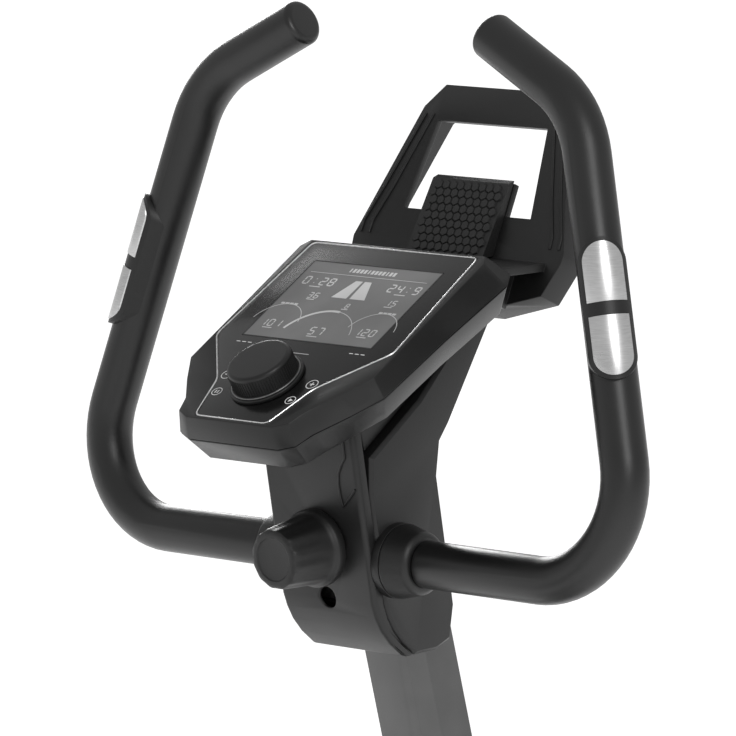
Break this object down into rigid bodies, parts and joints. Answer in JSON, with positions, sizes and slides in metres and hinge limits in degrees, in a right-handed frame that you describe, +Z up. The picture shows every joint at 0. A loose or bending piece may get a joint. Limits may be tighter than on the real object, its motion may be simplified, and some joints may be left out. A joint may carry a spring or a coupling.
{
  "type": "exercise bike",
  "caption": "Upright exercise bike with an upswept bent handlebar, angled console with a dial, tablet holder, belt drive, pedals and a sliding saddle.",
  "frame": {"origin": "on the floor, in the middle of the base", "axes": "+Z up, +Y ahead of the rider, +X to the rider's right"},
  "size_m": [0.582, 1.04, 1.3852],
  "materials": {
    "frame_paint": "semi-gloss black powder coat",
    "mast_paint": "satin silver-grey powder coat",
    "housing_plastic": "fine-grained moulded black",
    "trim_plastic": "moulded dark grey",
    "head_plastic": "fine-grained moulded black",
    "console_plastic": "satin moulded black",
    "console_glass": "gloss black window",
    "display": "liquid crystal, grey",
    "grip_foam": "satin black sleeve",
    "pad_rubber": "matt black, raised cells",
    "sensor_steel": "bright stainless",
    "steel": "plated",
    "post_chrome": "polished",
    "crank_metal": "black coated forging",
    "pedal_plastic": "moulded black",
    "strap_rubber": "matt",
    "pulley_plastic": "moulded",
    "belt_rubber": "ribbed belt",
    "flywheel_iron": "turned and oiled",
    "magnet": "nickel plated",
    "saddle_vinyl": "stitched black vinyl over foam",
    "wheel_plastic": "hard rubber"
  },
  "bodies": {
    "base": {"ball_bearings": "steel", "brake_motor": "trim_plastic", "clamp_cap": "steel", "clamp_screws": "steel", "console_back": "console_plastic", "console_display": "display", "console_glass": "console_glass", "console_housing": "console_plastic", "drive_belt": "belt_rubber", "front_end_caps": "trim_plastic", "front_stabilizer": "frame_paint", "handlebar_collars": "head_plastic", "handlebar_cradle": "steel", "head_cover_left": "head_plastic", "head_cover_right": "head_plastic", "head_rear_cover": "head_plastic", "housing_left": "housing_plastic", "housing_right": "housing_plastic", "housing_screws": "steel", "main_frame": "frame_paint", "mast": "mast_paint", "mast_bolts": "steel", "mast_collar": "housing_plastic", "rear_end_caps": "trim_plastic", "rear_stabilizer": "frame_paint", "seat_sleeve": "trim_plastic", "stabilizer_bolts": "steel", "tablet_holder": "head_plastic", "tablet_pad": "pad_rubber", "wheel_axles": "steel"},
    "transport_wheel_left": {"transport_wheel_left": "wheel_plastic"},
    "transport_wheel_right": {"transport_wheel_right": "wheel_plastic"},
    "levelling_foot_left": {"levelling_foot_left": "trim_plastic"},
    "levelling_foot_right": {"levelling_foot_right": "trim_plastic"},
    "crank": {"crank_axle": "steel", "crank_arm_left": "crank_metal", "crank_arm_right": "crank_metal", "crank_discs": "trim_plastic", "drive_pulley": "pulley_plastic", "pedal_spindles": "steel"},
    "pedal_left": {"pedal_left": "pedal_plastic", "pedal_strap_left": "strap_rubber"},
    "pedal_right": {"pedal_right": "pedal_plastic", "pedal_strap_right": "strap_rubber"},
    "flywheel": {"flywheel": "flywheel_iron", "flywheel_axle": "steel"},
    "brake": {"brake_arm": "frame_paint", "brake_magnets": "magnet"},
    "seat_post": {"seat_post": "post_chrome"},
    "seat_pin": {"seat_pin": "trim_plastic"},
    "saddle": {"seat_carriage": "frame_paint", "saddle_pan": "trim_plastic", "saddle_cushion": "saddle_vinyl"},
    "carriage_knob": {"carriage_knob": "trim_plastic"},
    "handlebar": {"handlebar_tube": "frame_paint", "handlebar_grips": "grip_foam", "pulse_bases": "head_plastic", "pulse_plates": "sensor_steel"},
    "clamp_knob": {"clamp_knob": "head_plastic"},
    "console_dial": {"console_dial": "console_plastic"}
  },
  "joints": [
    {"name": "handlebar_tilt", "type": "hinge", "parent": "base", "child": "handlebar", "pos_m": [0, 0.17, 1], "axis": [1, 0, 0], "range_deg": [-10, 10]},
    {"name": "clamp_knob_turn", "type": "hinge", "parent": "base", "child": "clamp_knob", "pos_m": [0, 0.137, 1.0084], "axis": [0, -0.996, -0.0889], "range_deg": [0, 180]},
    {"name": "console_dial_turn", "type": "hinge", "parent": "base", "child": "console_dial", "pos_m": [0, 0.08656, 1.1311], "axis": [0, -0.5299, 0.848], "continuous": true},
    {"name": "crank_spin", "type": "hinge", "parent": "base", "child": "crank", "pos_m": [0, 0.04, 0.3], "axis": [1, 0, 0], "continuous": true},
    {"name": "flywheel_spin", "type": "hinge", "parent": "base", "child": "flywheel", "pos_m": [0, 0.25, 0.29], "axis": [1, 0, 0], "continuous": true},
    {"name": "pedal_right_spin", "type": "hinge", "parent": "crank", "child": "pedal_right", "pos_m": [0.148, 0.17926, 0.20249], "axis": [1, 0, 0], "continuous": true},
    {"name": "pedal_left_spin", "type": "hinge", "parent": "crank", "child": "pedal_left", "pos_m": [-0.148, -0.09926, 0.39751], "axis": [1, 0, 0], "continuous": true},
    {"name": "brake_swing", "type": "hinge", "parent": "base", "child": "brake", "pos_m": [0, 0.17058, 0.39165], "axis": [1, 0, 0], "range_deg": [0, 5]},
    {"name": "seat_post_slide", "type": "slide", "parent": "base", "child": "seat_post", "axis": [0, -0.2672, 0.9636], "range_m": [-0.04, 0.18]},
    {"name": "seat_pin_push", "type": "slide", "parent": "base", "child": "seat_pin", "axis": [0, 0.9636, 0.2672], "range_m": [0, 0.008]},
    {"name": "saddle_slide", "type": "slide", "parent": "seat_post", "child": "saddle", "axis": [0, 1, 0], "range_m": [-0.06, 0.06]},
    {"name": "carriage_knob_turn", "type": "hinge", "parent": "saddle", "child": "carriage_knob", "pos_m": [0.06, -0.23729, 0.76223], "axis": [1, 0, 0], "range_deg": [0, 180]},
    {"name": "transport_wheel_left_spin", "type": "hinge", "parent": "base", "child": "transport_wheel_left", "pos_m": [-0.266, 0.496, 0.028], "axis": [1, 0, 0], "continuous": true},
    {"name": "transport_wheel_right_spin", "type": "hinge", "parent": "base", "child": "transport_wheel_right", "pos_m": [0.266, 0.496, 0.028], "axis": [1, 0, 0], "continuous": true},
    {"name": "levelling_foot_left_turn", "type": "hinge", "parent": "base", "child": "levelling_foot_left", "pos_m": [-0.266, -0.486, 0], "axis": [0, 0, 1], "range_deg": [-180, 180]},
    {"name": "levelling_foot_right_turn", "type": "hinge", "parent": "base", "child": "levelling_foot_right", "pos_m": [0.266, -0.486, 0], "axis": [0, 0, 1], "range_deg": [-180, 180]}
  ],
  "couplings": [
    {"joint": "flywheel_spin", "follows": "crank_spin", "ratio": 5.4545}
  ]
}
